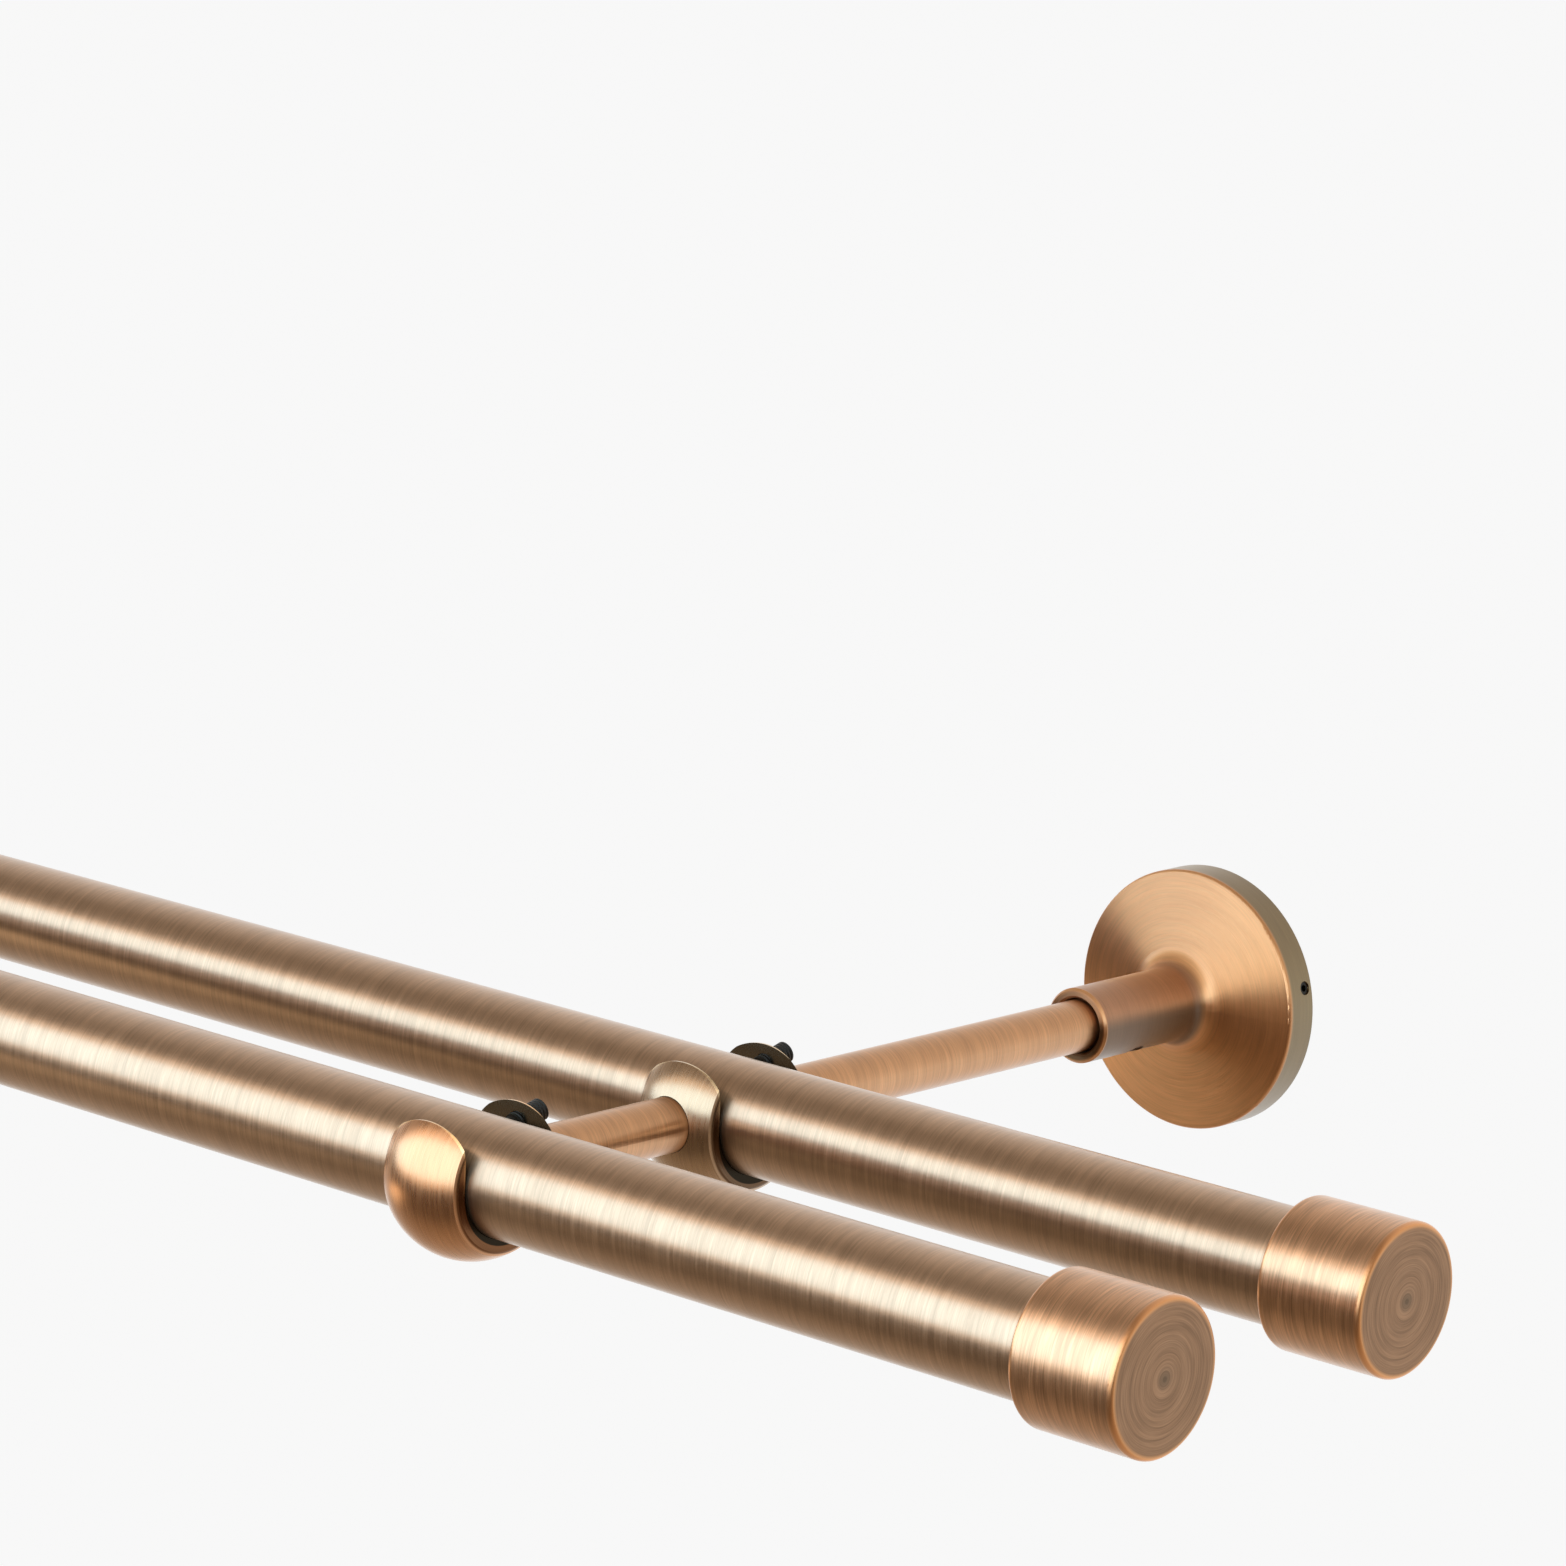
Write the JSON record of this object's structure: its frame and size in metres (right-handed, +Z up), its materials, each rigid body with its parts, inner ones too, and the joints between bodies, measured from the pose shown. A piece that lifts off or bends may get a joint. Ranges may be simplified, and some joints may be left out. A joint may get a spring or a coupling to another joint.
{
  "type": "double curtain pole",
  "caption": "Double curtain pole: parallel round tubes with plain turned end caps, carried in open-topped cradle holders on rods that stand out from round wall roses.",
  "frame": {"origin": "on the wall plane, midway between the brackets, at the height of their rods", "axes": "+X along the poles, +Y into the wall, +Z up; the room is on the -Y side"},
  "size_m": [1.206, 0.2176, 0.051],
  "materials": {
    "copper_pole": "antique copper plate, brushed round the tube",
    "copper_cap": "antique copper plate, turned and brushed",
    "copper_rose": "antique copper plate, turned and brushed",
    "copper_rod": "antique copper plate, satin",
    "copper_holder": "antique copper plate, brushed, dark on its side faces",
    "plate_steel": "zinc plated, satin",
    "black_screw": "black oxide, satin"
  },
  "bodies": {
    "root": {"back_pole": "copper_pole", "front_pole": "copper_pole", "back_left_cap": "copper_cap", "back_right_cap": "copper_cap", "front_left_cap": "copper_cap", "front_right_cap": "copper_cap", "left_wall_plate": "plate_steel", "left_wall_rose": "copper_rose", "left_rear_rod": "copper_rod", "left_rear_holder": "copper_holder", "left_front_rod": "copper_rod", "left_front_holder": "copper_holder", "right_wall_plate": "plate_steel", "right_wall_rose": "copper_rose", "right_rear_rod": "copper_rod", "right_rear_holder": "copper_holder", "right_front_rod": "copper_rod", "right_front_holder": "copper_holder", "clamp_screws": "black_screw", "cap_grub_screws": "black_screw", "rod_grub_screws": "black_screw", "rose_grub_screws": "black_screw"}
  },
  "joints": []
}
